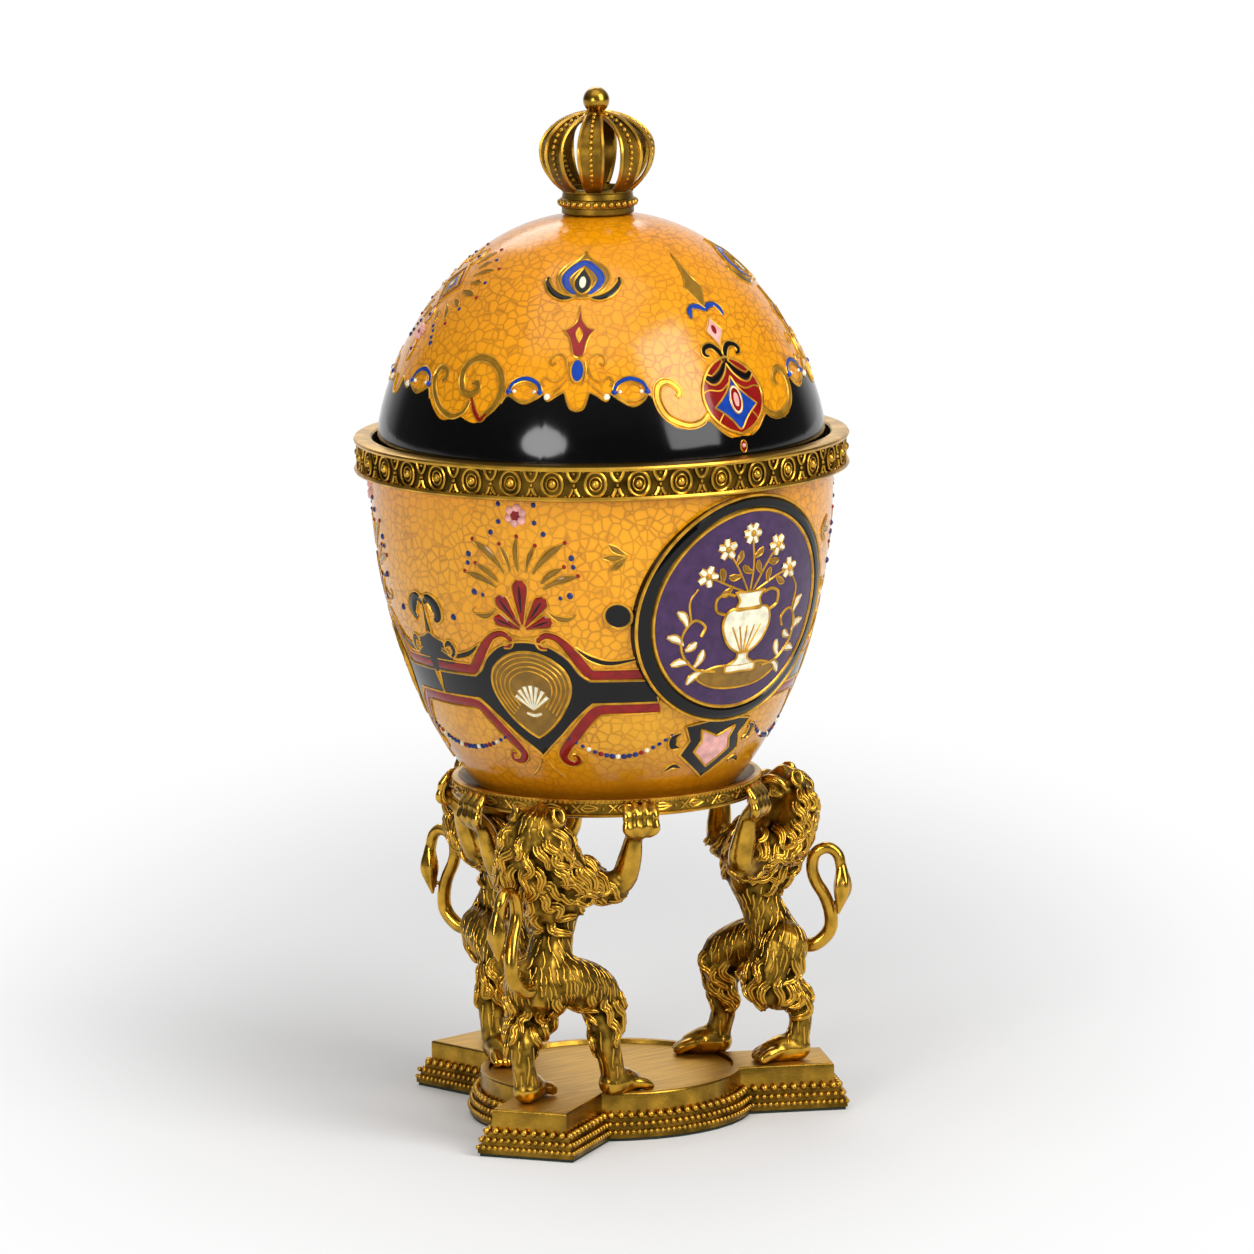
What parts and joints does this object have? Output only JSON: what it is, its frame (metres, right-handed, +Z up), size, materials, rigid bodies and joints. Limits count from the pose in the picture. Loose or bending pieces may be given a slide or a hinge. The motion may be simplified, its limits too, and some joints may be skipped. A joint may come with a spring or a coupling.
{
  "type": "egg trinket box",
  "caption": "Crackle-glazed porcelain egg box with a lift-off lid, brass rim band and crown finial, on a ring held by standing brass lions over an armed plinth.",
  "frame": {"origin": "under the plinth on the egg's axis, on the surface that the box stands on", "axes": "+Z up along the egg's axis, -Y to the front medallion"},
  "size_m": [0.152, 0.152, 0.3188],
  "materials": {
    "porcelain": "amber crackle glaze with enamelled ornament and a black zone",
    "enamel": "purple enamel with a black border and gold lines",
    "brass": "antique cast brass, dark in the recesses",
    "steel": "plain",
    "rubber": "matt",
    "cork": "matt",
    "felt": "dark green felt"
  },
  "bodies": {
    "stand": {"base_felt": "felt", "plinth_moulding": "brass", "plinth_block": "brass", "lion_screw_1": "steel", "lion_screw_2": "steel", "lion_screw_3": "steel", "lion_screw_4": "steel", "lion_screw_5": "steel", "lion_screw_6": "steel", "lion_front": "brass", "lion_tail_front": "brass", "lion_right": "brass", "lion_tail_right": "brass", "lion_left": "brass", "lion_tail_left": "brass", "stand_ring": "brass", "seat_pad": "cork", "bowl_shell": "porcelain", "rim_band": "brass", "medallion_front": "enamel", "medallion_back": "enamel", "bowl_bolt": "steel", "bowl_washer": "rubber", "nut_washer": "steel", "bowl_nut": "steel"},
    "lid": {"lid_shell": "porcelain", "crown_circlet": "brass", "crown_arches": "brass", "crown_orb": "brass", "crown_washer": "rubber", "crown_screw": "steel"}
  },
  "joints": [
    {"name": "lid_lift", "type": "slide", "parent": "stand", "child": "lid", "axis": [0, 0, 1], "range_m": [0, 0.1]}
  ]
}
